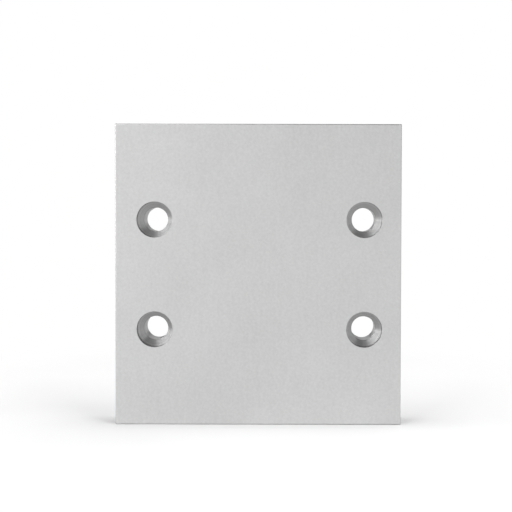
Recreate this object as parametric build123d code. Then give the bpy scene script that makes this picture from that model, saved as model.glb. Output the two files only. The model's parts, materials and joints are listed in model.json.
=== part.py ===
from build123d import *

from math import radians, tan
import os

# Rectangular cover plate of machined aluminium, with four stepped countersunk screw holes.
# The plate stands on its lower edge: X runs along its width, Y through its thickness and Z up.
# The origin is at the middle of the lower edge. The front face, which the screw heads sink
# into, looks along -Y. All lengths are in millimetres and angles in degrees.

# Plate
plate_width = 95.0
plate_height = 100.0
plate_thickness = 10.0
edge_break = 0.3  # chamfer along all twelve outer edges

# Screw hole: a short counterbore for the head's rim, a countersink and a clearance hole
hole_diameter = 8.0
recess_diameter = 11.8
recess_depth = 1.8
countersink_angle = 90.0  # between opposite sides of the cone
rim_break = 0.1  # chamfer where a hole opens on the front and on the back face

# Screw pattern: a rectangle at the middle of the plate's height, a little right of its centre
pattern_width = 69.7
pattern_height = 36.5
pattern_offset = 0.4


def plate_blank():
    """The plate before it is drilled: a rectangle with thickness, and its edges broken."""
    outline = Pos(0, plate_height / 2) * Rectangle(plate_width, plate_height)
    blank = extrude(Plane.XZ * outline, amount=plate_thickness / 2, both=True)
    return chamfer(blank.edges(), edge_break)


def screw_hole():
    """What one screw hole removes. Its axis is Z, and the plate's front face is at Z = 0."""
    hole_radius = hole_diameter / 2
    recess_radius = recess_diameter / 2
    cone_depth = (recess_radius - hole_radius) / tan(radians(countersink_angle / 2))
    half_section = Polyline(
        (0, 0),
        (recess_radius + rim_break, 0),
        (recess_radius, -rim_break),
        (recess_radius, -recess_depth),
        (hole_radius, -recess_depth - cone_depth),
        (hole_radius, -plate_thickness + rim_break),
        (hole_radius + rim_break, -plate_thickness),
        (0, -plate_thickness),
        close=True,
    )
    return revolve(Plane.XZ * make_face(half_section), Axis.Z)


def cover_plate():
    """The finished plate: the blank, less a screw hole at each corner of the pattern."""
    front_face = Plane.XZ.offset(plate_thickness / 2)
    pattern_centre = Pos(pattern_offset, plate_height / 2)
    corners = GridLocations(pattern_width, pattern_height, 2, 2)
    return plate_blank() - front_face * pattern_centre * corners * screw_hole()


os.makedirs("parts", exist_ok=True)
export_step(cover_plate(), "parts/cover_plate.step")
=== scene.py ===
import json
import math

import bmesh
import bpy
from mathutils import Matrix, Vector


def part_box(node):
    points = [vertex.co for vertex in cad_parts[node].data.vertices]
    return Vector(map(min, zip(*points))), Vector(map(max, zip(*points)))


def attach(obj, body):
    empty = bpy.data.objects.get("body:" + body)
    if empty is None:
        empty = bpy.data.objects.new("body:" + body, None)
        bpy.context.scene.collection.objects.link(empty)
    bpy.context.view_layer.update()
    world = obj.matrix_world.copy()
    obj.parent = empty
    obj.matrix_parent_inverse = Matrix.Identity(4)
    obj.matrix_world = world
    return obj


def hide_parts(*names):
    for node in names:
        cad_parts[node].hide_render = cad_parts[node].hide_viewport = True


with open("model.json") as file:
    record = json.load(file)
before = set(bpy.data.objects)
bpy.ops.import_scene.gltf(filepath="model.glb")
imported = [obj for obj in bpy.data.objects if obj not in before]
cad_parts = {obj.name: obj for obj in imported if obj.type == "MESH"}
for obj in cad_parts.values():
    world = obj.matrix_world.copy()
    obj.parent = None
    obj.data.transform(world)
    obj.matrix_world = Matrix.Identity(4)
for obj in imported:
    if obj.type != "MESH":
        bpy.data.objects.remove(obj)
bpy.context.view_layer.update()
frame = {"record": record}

# The looks of the rectangular cover plate. Lengths are in metres, in the frame of the CAD model:
# the plate stands on its lower edge at Z = 0, and its front face looks along -Y.

MM = 0.001

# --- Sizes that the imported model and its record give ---
MOUNTS = {mount["name"]: mount for mount in frame["record"]["mounts"]}
PATTERN = MOUNTS["screw_holes"]
PLATE_LOW, PLATE_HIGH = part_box("cover_plate")
FRONT_Y = PLATE_LOW.y
BACK_Y = PLATE_HIGH.y
HOLE_RADIUS = PATTERN["dims"]["hole_r_mm"] * MM
RECESS_RADIUS = MOUNTS["head_recesses"]["dims"]["hole_r_mm"] * MM
PATTERN_X = PATTERN["pos_m"][0]
PATTERN_Z = PATTERN["pos_m"][2]
HALF_PATTERN_X = PATTERN["dims"]["spacing_x_mm"] * MM / 2
HALF_PATTERN_Z = PATTERN["dims"]["spacing_y_mm"] * MM / 2

# --- Sizes of the edges and screw holes that the record leaves out, as the CAD model has them ---
EDGE_BREAK = 0.3 * MM
RIM_BREAK = 0.1 * MM
RECESS_DEPTH = 1.8 * MM
CONE_DEPTH = RECESS_RADIUS - HOLE_RADIUS  # a 90 degree countersink

# --- Mesh ---
HOLE_SEGMENTS = 192
EDGE_STEPS = 4  # flats round each outer edge
WIDE_FACE = 100.0 * MM * MM  # a face with more area than this is one of the flat sides
SHARP_ANGLE = math.radians(35.0)
FLAT_NORMAL = 0.9  # the Y part of its normal is over this on a face that gets the matt finish
CUTTER_PAST = 1.0 * MM  # how far a hole's cutter stands out of the plate

# --- Finish: tones are linear greys, a SWING is how far a pattern moves a value from end to end of its
# range, a SCALE is a pattern's waves a metre, and a RELIEF is the height of its bumps ---
FACE_TONE = 0.638
FACE_ROUGHNESS = 0.45
FACE_ROUGHNESS_SWING = 0.06
FACE_RELIEF = 0.002 * MM
GRAIN_SCALE = 1250.0
GRAIN_SWING = 0.11
STREAK_SCALE = 1100.0
STREAK_STRETCH = 0.08  # waves up the plate, as a part of those across it
STREAK_SWING = 0.02
CLOUD_SCALE = 45.0
CLOUD_SWING = 0.07

HOLE_TONE = 0.50
# painted shade: the recess wall's darker tone stands in for the shade that falls in the recess
RECESS_SHADE_TONE = 0.26
HOLE_ROUGHNESS = 0.45
HOLE_ROUGHNESS_SWING = 0.08
HOLE_RELIEF = 0.01 * MM
HOLE_STREAK = 0.9  # how much further the turned rings spread a reflection along the hole than round it
RING_SCALE = 1500.0
RING_SWING = 0.28

EDGE_TONE = 0.53
EDGE_ROUGHNESS = 0.50
EDGE_ROUGHNESS_SWING = 0.10
EDGE_RELIEF = 0.004 * MM
LINE_SCALES = (40.0, 2500.0, 40.0)  # along X, Y and Z: the lines run round the plate's edges
LINE_SWING = 0.10

# --- Studio ---
FLOOR_HALF = 4.0
FLOOR_GREY = 0.9
FLOOR_NEAR = 0.095  # the floor turns plain white to the camera from this far out
FLOOR_FAR = 0.17  # and is all white from here
FLOOR_CONTACT = 1.5 * MM  # a reflection shows the shaded floor less and less up to this far from the plate
DOME_LIGHT = 0.15  # strength of the soft grey light from above the background
BACKGROUND_TOP = math.sin(math.radians(15.0))  # the white background reaches this high
BACKGROUND_FADE = math.sin(math.radians(22.0))  # and has faded into the grey by here

# --- Camera: its place is measured from the middle of the front face's lower edge ---
CAMERA_PLACE = Vector((10.53, -266.67, 71.94)) * MM
CAMERA_DOWN = math.radians(1.205)
CAMERA_ROLL = math.radians(0.128)
CAMERA_LENS = 56.56
CAMERA_SHIFT = (-0.0665, -0.0593)

# --- Lamps ---
# The lamps overhead light only the floor, and give the plate's shadow on it. Each is named with the X and Y
# of its middle, its width, its depth and its watts.
OVERHEAD_UP = 1.0
OVERHEAD_LAMPS = [
    ("overhead", (0.05, 0.0), 0.6, 0.5, 4.05),
    ("overhead_core", (0.05, 0.03), 0.5, 0.1, 1.8),
    ("overhead_back", (0.05, 0.3), 0.5, 0.2, 0.8),
    ("overhead_left", (-0.40, -0.3), 0.24, 0.7, 3.1),
    ("overhead_right", (0.42, -0.34), 0.16, 0.5, 3.0),
]

# The other lamps light only the plate, from LAMP_FAR metres. Each is named with its angle in front of the
# plate's plane, its angle round from the plate's right over its top, its size and its watts.
LAMP_FAR = 1.0
LAMPS = [
    ("key_a", 30.0, 180.0, 0.28, 1.2),
    ("key_b", 30.0, 155.0, 0.28, 1.25),
    ("key_c", 30.0, 140.0, 0.28, 1.3),
    ("key_d", 30.0, 125.0, 0.28, 1.1),
    ("key_e", 30.0, 110.0, 0.28, 0.6),
    ("left_front", 45.0, 180.0, 0.28, 0.9),
    ("right_side", 30.0, 35.0, 0.28, 0.45),
    ("top_front", 60.0, 90.0, 0.28, 0.45),
    ("top_back", -45.0, 90.0, 0.9, 2.2),
]


class Nodes:
    """Adds shader nodes to a node tree, each one linked to what feeds it."""

    def __init__(self, tree):
        self.tree = tree

    def feed(self, socket, value):
        """Link a socket to an output, or set it to a plain value."""
        if isinstance(value, bpy.types.NodeSocket):
            self.tree.links.new(value, socket)
        else:
            socket.default_value = value

    def add(self, kind, feeds=None, output=0, **settings):
        """Add a node of this kind and give back one of its outputs. feeds maps inputs to values."""
        node = self.tree.nodes.new("ShaderNode" + kind)
        for name, value in settings.items():
            setattr(node, name, value)
        for name, value in (feeds or {}).items():
            self.feed(node.inputs[name], value)
        return node.outputs[output]

    def math(self, operation, *values):
        """A Math node on these values."""
        return self.add("Math", dict(enumerate(values)), operation=operation)

    def noise(self, where, scale, detail, roughness=0.5):
        """Noise from 0 to 1, with this many waves a metre."""
        feeds = {"Vector": where, "Scale": scale, "Detail": detail, "Roughness": roughness}
        return self.add("TexNoise", feeds)

    def ramp(self, value, start, end, **settings):
        """A value that rises from 0 at start and below it to 1 at end and past it."""
        return self.add("MapRange", {"Value": value, "From Min": start, "From Max": end}, **settings)

    def vary(self, middle, *swings):
        """The value middle, moved either way by half of each swing as its pattern goes from 0 to 1."""
        value = middle - sum(swing for pattern, swing in swings) / 2
        for pattern, swing in swings:
            value = self.math("MULTIPLY_ADD", pattern, swing, value)
        return value

    def seen(self, camera=1.0, mirrored=1.0):
        """camera for what the camera sees, mirrored for what a reflection or clear glass shows, else 0."""
        rays = self.tree.nodes.new("ShaderNodeLightPath").outputs
        shown = self.math("ADD", rays["Is Glossy Ray"], rays["Is Transmission Ray"])
        shown = self.math("MULTIPLY", shown, mirrored)
        shown = self.math("MULTIPLY_ADD", rays["Is Camera Ray"], camera, shown)
        return self.math("MINIMUM", shown, 1.0)


def new_material(name):
    """A new material, its node adder and its Principled shader."""
    material = bpy.data.materials.new(name)
    material.use_nodes = True
    return material, Nodes(material.node_tree), material.node_tree.nodes["Principled BSDF"]


def finish_metal(nodes, shader, tone, roughness, height, depth):
    """Bare aluminium of this tone and roughness, raised by height, a pattern from 0 to 1, up to depth."""
    grey = nodes.add("CombineColor", {"Red": tone, "Green": tone, "Blue": tone})
    nodes.feed(shader.inputs["Base Color"], grey)
    nodes.feed(shader.inputs["Roughness"], roughness)
    bump = nodes.add("Bump", {"Height": height, "Distance": depth})
    nodes.feed(shader.inputs["Normal"], bump)
    shader.inputs["Metallic"].default_value = 1.0


def face_metal():
    """The matt faces: a fine even grain, faint upright streaks, and soft, wide changes of tone."""
    material, nodes, shader = new_material("matt_aluminium")
    place = nodes.add("TexCoord", output="Object")
    grain = nodes.noise(place, GRAIN_SCALE, detail=1.0)
    drawn = nodes.add("Mapping", {"Vector": place, "Scale": (1.0, 1.0, STREAK_STRETCH)})
    streaks = nodes.noise(drawn, STREAK_SCALE, detail=1.0)
    clouds = nodes.noise(place, CLOUD_SCALE, detail=2.0)
    tone = nodes.vary(FACE_TONE, (grain, GRAIN_SWING), (streaks, STREAK_SWING), (clouds, CLOUD_SWING))
    roughness = nodes.vary(FACE_ROUGHNESS, (grain, FACE_ROUGHNESS_SWING))
    finish_metal(nodes, shader, tone, roughness, grain, FACE_RELIEF)
    return material


def from_axis(nodes, value, middle, half_pattern):
    """How far this coordinate is outward of the nearer of the two hole axes either side of middle."""
    from_middle = nodes.math("ABSOLUTE", nodes.math("SUBTRACT", value, middle))
    return nodes.math("SUBTRACT", from_middle, half_pattern)


def hole_metal():
    """The turned walls of the screw holes, with fine rings about the hole's axis, and painted shade: the
    recess wall's tone is darker, standing in for the shade in the recess.
    """
    material, nodes, shader = new_material("turned_aluminium_recess_shade")
    place = nodes.add("TexCoord", output="Object")
    parts = nodes.add("SeparateXYZ", {"Vector": place}).node.outputs
    across = from_axis(nodes, parts["X"], PATTERN_X, HALF_PATTERN_X)
    up = from_axis(nodes, parts["Z"], PATTERN_Z, HALF_PATTERN_Z)
    out = nodes.add("CombineXYZ", {"X": across, "Y": 0.0, "Z": up})
    radius = nodes.add("VectorMath", {"Vector": out}, output="Value", operation="LENGTH")
    along = nodes.math("SUBTRACT", parts["Y"], radius)  # changes along the cone as well as the bore
    rings = nodes.add("TexNoise", {"W": along, "Scale": RING_SCALE, "Detail": 3.0}, noise_dimensions="1D")
    # painted shade: the recess wall, between the rim's break and the cone, gets a darker tone in place of
    # shade
    past_rim = nodes.math("GREATER_THAN", parts["Y"], FRONT_Y + RIM_BREAK)
    before_cone = nodes.math("LESS_THAN", parts["Y"], FRONT_Y + RECESS_DEPTH)
    recess_shade_mask = nodes.math("MULTIPLY", past_rim, before_cone)
    tone = nodes.vary(HOLE_TONE, (rings, RING_SWING))
    tone = nodes.math("MULTIPLY_ADD", recess_shade_mask, RECESS_SHADE_TONE - HOLE_TONE, tone)
    roughness = nodes.vary(HOLE_ROUGHNESS, (rings, HOLE_ROUGHNESS_SWING))
    finish_metal(nodes, shader, tone, roughness, rings, HOLE_RELIEF)
    axis = nodes.add("CombineXYZ", {"X": 0.0, "Y": 1.0, "Z": 0.0})
    turned = {"vector_type": "VECTOR", "convert_from": "OBJECT", "convert_to": "WORLD"}
    nodes.feed(shader.inputs["Tangent"], nodes.add("VectorTransform", {"Vector": axis}, **turned))
    shader.inputs["Anisotropic"].default_value = HOLE_STREAK
    return material


def edge_metal():
    """The milled edges of the plate, with fine lines along them."""
    material, nodes, shader = new_material("milled_aluminium")
    place = nodes.add("TexCoord", output="Object")
    drawn = nodes.add("Mapping", {"Vector": place, "Scale": LINE_SCALES})
    lines = nodes.noise(drawn, 1.0, detail=3.0, roughness=0.6)
    tone = nodes.vary(EDGE_TONE, (lines, LINE_SWING))
    roughness = nodes.vary(EDGE_ROUGHNESS, (lines, EDGE_ROUGHNESS_SWING))
    finish_metal(nodes, shader, tone, roughness, lines, EDGE_RELIEF)
    return material


def link(name, data):
    """A new object in the scene."""
    made = bpy.data.objects.new(name, data)
    bpy.context.scene.collection.objects.link(made)
    return made


def mesh_from(mesh, name, *materials):
    """A mesh datablock from a bmesh, which is freed."""
    data = bpy.data.meshes.new(name)
    mesh.to_mesh(data)
    mesh.free()
    for material in materials:
        data.materials.append(material)
    return data


def plate_blank():
    """The plate before it is drilled: its box, with every edge rounded a little."""
    mesh = bmesh.new()
    bmesh.ops.create_cube(mesh, size=1.0)
    size = PLATE_HIGH - PLATE_LOW
    placed = Matrix.Translation((PLATE_LOW + PLATE_HIGH) / 2) @ Matrix.Diagonal((*size, 1.0))
    bmesh.ops.transform(mesh, matrix=placed, verts=mesh.verts)
    bmesh.ops.bevel(
        mesh,
        geom=mesh.edges[:],
        offset=EDGE_BREAK,
        segments=EDGE_STEPS,
        profile=0.5,
        affect="EDGES",
    )
    for face in mesh.faces:
        is_matt = abs(face.normal.y) > FLAT_NORMAL
        face.material_index = 0 if is_matt else 1
    return link("plate_finish", mesh_from(mesh, "plate_finish", face_metal(), edge_metal()))


def hole_cutter(name, x, z, material):
    """The solid that one screw hole removes, turned about an axis along Y."""
    section = [
        (RECESS_RADIUS + RIM_BREAK + CUTTER_PAST, FRONT_Y - CUTTER_PAST),
        (RECESS_RADIUS, FRONT_Y + RIM_BREAK),
        (RECESS_RADIUS, FRONT_Y + RECESS_DEPTH),
        (HOLE_RADIUS, FRONT_Y + RECESS_DEPTH + CONE_DEPTH),
        (HOLE_RADIUS, BACK_Y - RIM_BREAK),
        (HOLE_RADIUS + RIM_BREAK + CUTTER_PAST, BACK_Y + CUTTER_PAST),
    ]
    mesh = bmesh.new()
    points = [mesh.verts.new((x + radius, y, z)) for radius, y in section]
    for near, far in zip(points, points[1:]):
        mesh.edges.new((near, far))
    bmesh.ops.spin(
        mesh,
        geom=mesh.verts[:] + mesh.edges[:],
        cent=(x, 0.0, z),
        axis=(0.0, 1.0, 0.0),
        angle=math.tau,
        steps=HOLE_SEGMENTS,
        use_merge=True,
    )
    bmesh.ops.holes_fill(mesh, edges=mesh.edges)
    bmesh.ops.recalc_face_normals(mesh, faces=mesh.faces)
    return link(name, mesh_from(mesh, name, material))


def drill(plate, cutter):
    """Take the cutter out of the plate, leaving its material on the walls of the hole."""
    cut = plate.modifiers.new(cutter.name, "BOOLEAN")
    cut.operation = "DIFFERENCE"
    cut.solver = "EXACT"
    cut.material_mode = "TRANSFER"
    cut.object = cutter
    solved = plate.evaluated_get(bpy.context.evaluated_depsgraph_get())
    drilled = bpy.data.meshes.new_from_object(solved)
    plate.modifiers.clear()
    plate.data = drilled
    bpy.data.objects.remove(cutter)


def shade(data):
    """Shade the hole walls and rounded edges as smooth, and each flat side as flat up to its border."""
    mesh = bmesh.new()
    mesh.from_mesh(data)
    for face in mesh.faces:
        face.smooth = True
    for edge in mesh.edges:
        borders_flat = any(face.calc_area() > WIDE_FACE for face in edge.link_faces)
        edge.smooth = not borders_flat and edge.calc_face_angle(0.0) < SHARP_ANGLE
    mesh.to_mesh(data)
    mesh.free()


def build_plate():
    """The whole plate, in place of the CAD node."""
    plate = plate_blank()
    walls = hole_metal()
    for side in (-1, 1):
        for row in (-1, 1):
            x = PATTERN_X + side * HALF_PATTERN_X
            z = PATTERN_Z + row * HALF_PATTERN_Z
            drill(plate, hole_cutter("hole_cutter", x, z, walls))
    plate.data.name = plate.name
    shade(plate.data)
    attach(plate, "root")
    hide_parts("cover_plate")
    return plate


def build_floor():
    """A wide white floor. Beyond the plate's shadow the camera sees it as the plain white background.

    Reflections and clear glass see it as plain white up to the plate, apart from a thin line beside it.
    """
    mesh = bmesh.new()
    bmesh.ops.create_grid(mesh, x_segments=1, y_segments=1, size=FLOOR_HALF)
    material, nodes, shader = new_material("white_floor")
    shader.inputs["Base Color"].default_value = (FLOOR_GREY, FLOOR_GREY, FLOOR_GREY, 1.0)
    shader.inputs["Roughness"].default_value = 1.0
    shader.inputs["Specular IOR Level"].default_value = 0.0
    place = nodes.add("TexCoord", output="Object")
    away = nodes.add("VectorMath", {"Vector": place}, output="Value", operation="LENGTH")
    far = nodes.ramp(away, FLOOR_NEAR, FLOOR_FAR, interpolation_type="SMOOTHSTEP")
    beside = nodes.math("ABSOLUTE", nodes.add("SeparateXYZ", {"Vector": place}, output="Y"))
    clear = nodes.ramp(beside, BACK_Y, BACK_Y + FLOOR_CONTACT)
    white = nodes.add("Emission", {"Strength": 1.0})
    mixed = nodes.add("MixShader", {0: nodes.seen(far, clear), 1: shader.outputs[0], 2: white})
    nodes.feed(nodes.tree.nodes["Material Output"].inputs["Surface"], mixed)
    floor = link("floor", mesh_from(mesh, "floor", material))
    return floor


def build_world():
    """A white background low down, for the camera and reflections, and a soft grey dome above it."""
    world = bpy.data.worlds.new("studio")
    world.use_nodes = True
    bpy.context.scene.world = world
    nodes = Nodes(world.node_tree)
    direction = nodes.add("TexCoord", output="Generated")
    up = nodes.add("SeparateXYZ", {"Vector": direction}, output="Z")
    high = nodes.ramp(up, BACKGROUND_TOP, BACKGROUND_FADE, interpolation_type="SMOOTHSTEP")
    low = nodes.math("SUBTRACT", 1.0, high)
    white = nodes.math("MULTIPLY", nodes.seen(), low)
    strength = nodes.add("MapRange", {"Value": white, "To Min": DOME_LIGHT, "To Max": 1.0})
    background = world.node_tree.nodes["Background"]
    background.inputs["Color"].default_value = (1.0, 1.0, 1.0, 1.0)
    nodes.feed(background.inputs["Strength"], strength)


def add_lamp(name, place, aim, width, height, watts, lit):
    """A soft rectangular lamp that points at aim and lights only the object lit."""
    light = bpy.data.lights.new(name, "AREA")
    light.shape = "RECTANGLE"
    light.size = width
    light.size_y = height
    light.energy = watts
    lamp = link(name, light)
    lamp.location = place
    lamp.rotation_mode = "QUATERNION"
    lamp.rotation_quaternion = (Vector(place) - Vector(aim)).to_track_quat("Z", "Y")
    receiver = bpy.data.collections.new(name + "_lights")
    receiver.objects.link(lit)
    lamp.light_linking.receiver_collection = receiver


def towards(in_front, round_from_right):
    """The direction in front of the plate's plane and round from its right over its top, in degrees."""
    front = math.radians(in_front)
    turned = math.radians(round_from_right)
    across = math.cos(front)
    return Vector((across * math.cos(turned), -math.sin(front), across * math.sin(turned)))


def build_lamps(plate, floor):
    """Lamps round the plate for its own light, and some overhead for the floor and the shadow on it."""
    middle = Vector((0.0, 0.0, PLATE_HIGH.z / 2))
    for name, in_front, round_from_right, size, watts in LAMPS:
        place = middle + LAMP_FAR * towards(in_front, round_from_right)
        add_lamp(name, place, middle, size, size, watts, plate)
    for name, (right, back), width, depth, watts in OVERHEAD_LAMPS:
        add_lamp(name, (right, back, OVERHEAD_UP), (right, back, 0.0), width, depth, watts, floor)


def build_camera():
    """In front of the plate, a little right of its middle and below its top, looking slightly down."""
    data = bpy.data.cameras.new("camera")
    data.lens = CAMERA_LENS
    data.shift_x, data.shift_y = CAMERA_SHIFT
    camera = link("camera", data)
    place = Matrix.Translation(CAMERA_PLACE + Vector((0.0, FRONT_Y, 0.0)))
    tilt = Matrix.Rotation(math.radians(90.0) - CAMERA_DOWN, 4, "X")
    roll = Matrix.Rotation(CAMERA_ROLL, 4, "Z")
    camera.matrix_world = place @ tilt @ roll
    bpy.context.scene.camera = camera


plate = build_plate()
floor = build_floor()
build_world()
build_lamps(plate, floor)
build_camera()
bpy.context.scene.view_settings.view_transform = "Standard"
